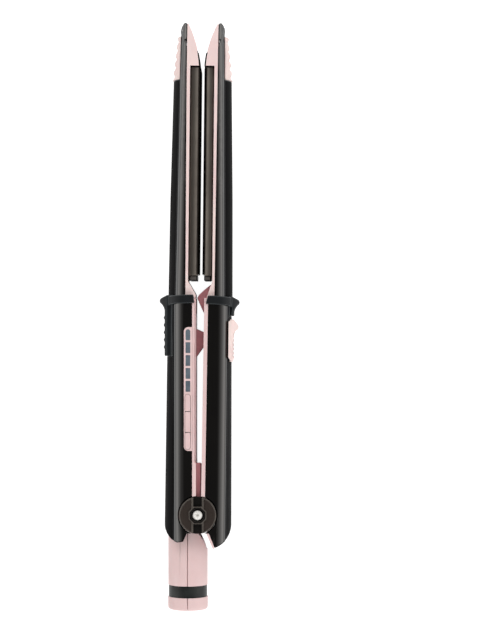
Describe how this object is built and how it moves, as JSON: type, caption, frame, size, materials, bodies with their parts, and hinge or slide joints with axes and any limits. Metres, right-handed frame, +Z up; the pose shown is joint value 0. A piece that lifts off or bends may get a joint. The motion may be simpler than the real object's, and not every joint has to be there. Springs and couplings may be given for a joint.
{
  "type": "hair crimper",
  "caption": "Hinged two-arm hair crimper with floating ridged plates, collars with wings, a thumb lock, a light bar display with keys, and a swivel cord inlet.",
  "frame": {"origin": "on the hinge axis, in the plane that the tool rests on when it lies on its side (the outer face of the back hinge cap)", "axes": "+Z up along the hinge axis, +Y towards the tips, +X towards the moving arm"},
  "size_m": [0.0398, 0.2926, 0.0318],
  "materials": {
    "gloss_black": "polished",
    "satin_black": "satin",
    "black_rubber": "matt",
    "pink_plastic": "satin",
    "mauve_plastic": "satin",
    "plate_metal": "anodised, satin",
    "carrier_metal": "anodised, satin",
    "ceramic": "matt",
    "film": "clear amber",
    "dark_steel": "brushed",
    "bright_steel": "polished",
    "cap_black": "satin",
    "board_green": "matt",
    "light_grey": "frosted",
    "lamp_white": "clear"
  },
  "bodies": {
    "left_arm": {"left_barrel_shell": "gloss_black", "left_barrel_spine": "satin_black", "left_tip_grip": "pink_plastic", "left_barrel_frame": "pink_plastic", "left_collar": "black_rubber", "left_handle_shell": "gloss_black", "left_handle_spine": "satin_black", "left_handle_liner": "pink_plastic", "left_handle_screws": "dark_steel", "left_plate_springs": "dark_steel", "hinge_knuckle": "mauve_plastic", "hinge_pin": "dark_steel", "hinge_cap": "cap_black", "hinge_back_cap": "cap_black", "hinge_screw": "bright_steel", "hinge_washers": "dark_steel", "opening_spring": "dark_steel", "tail_left_half": "pink_plastic", "tail_right_half": "pink_plastic", "tail_band": "gloss_black", "tail_screws": "dark_steel", "display_bezel": "pink_plastic", "display_board": "board_green", "display_light_bars": "light_grey", "indicator_lamps": "lamp_white", "tact_switches": "satin_black", "lock_catch": "mauve_plastic"},
    "left_plate_unit": {"left_plate": "plate_metal", "left_plate_carrier": "carrier_metal", "left_heater": "ceramic", "left_heater_film": "film", "left_thermal_fuse": "bright_steel", "left_plate_end_cap": "satin_black"},
    "right_plate_unit": {"right_plate": "plate_metal", "right_plate_carrier": "carrier_metal", "right_heater": "ceramic", "right_heater_film": "film", "right_thermal_fuse": "bright_steel", "right_plate_end_cap": "satin_black"},
    "right_arm": {"right_barrel_shell": "gloss_black", "right_barrel_spine": "satin_black", "right_tip_grip": "pink_plastic", "right_barrel_frame": "pink_plastic", "guide_wedge": "mauve_plastic", "right_collar": "black_rubber", "right_handle_shell": "gloss_black", "right_handle_spine": "satin_black", "right_handle_liner": "pink_plastic", "right_heel_strip": "pink_plastic", "hinge_fork": "satin_black", "right_handle_screws": "dark_steel", "right_plate_springs": "dark_steel"},
    "lock": {"lock_slider": "pink_plastic", "lock_hook": "dark_steel", "lock_retainer": "satin_black"},
    "power_button": {"power_key": "pink_plastic"},
    "heat_up_button": {"heat_up_key": "pink_plastic"},
    "heat_down_button": {"heat_down_key": "pink_plastic"},
    "swivel": {"cord_swivel": "satin_black"}
  },
  "joints": [
    {"name": "arm_hinge", "type": "hinge", "parent": "left_arm", "child": "right_arm", "pos_m": [0, 0, 0.0159], "axis": [0, 0, -1], "range_deg": [-0.35, 9.5]},
    {"name": "lock_slide", "type": "slide", "parent": "right_arm", "child": "lock", "axis": [-0.0105, -0.9999, 0], "range_m": [0, 0.004]},
    {"name": "left_plate_float", "type": "slide", "parent": "left_arm", "child": "left_plate_unit", "axis": [-0.9999, 0.0105, 0], "range_m": [0, 0.0006], "stiffness_N_per_m": 2000, "springref_m": -0.001, "deforming": ["left_plate_springs"]},
    {"name": "right_plate_float", "type": "slide", "parent": "right_arm", "child": "right_plate_unit", "axis": [0.9999, -0.0105, 0], "range_m": [0, 0.0006], "stiffness_N_per_m": 2000, "springref_m": -0.001, "deforming": ["right_plate_springs"]},
    {"name": "power_press", "type": "slide", "parent": "left_arm", "child": "power_button", "axis": [0, 0, -1], "range_m": [0, 0.0005], "stiffness_N_per_m": 300, "springref_m": -0.0003},
    {"name": "heat_up_press", "type": "slide", "parent": "left_arm", "child": "heat_up_button", "axis": [0, 0, -1], "range_m": [0, 0.0005], "stiffness_N_per_m": 300, "springref_m": -0.0003},
    {"name": "heat_down_press", "type": "slide", "parent": "left_arm", "child": "heat_down_button", "axis": [0, 0, -1], "range_m": [0, 0.0005], "stiffness_N_per_m": 300, "springref_m": -0.0003},
    {"name": "cord_swivel_turn", "type": "hinge", "parent": "left_arm", "child": "swivel", "pos_m": [-0.00515, -0.0461, 0.0159], "axis": [0, 1, 0], "continuous": true}
  ]
}
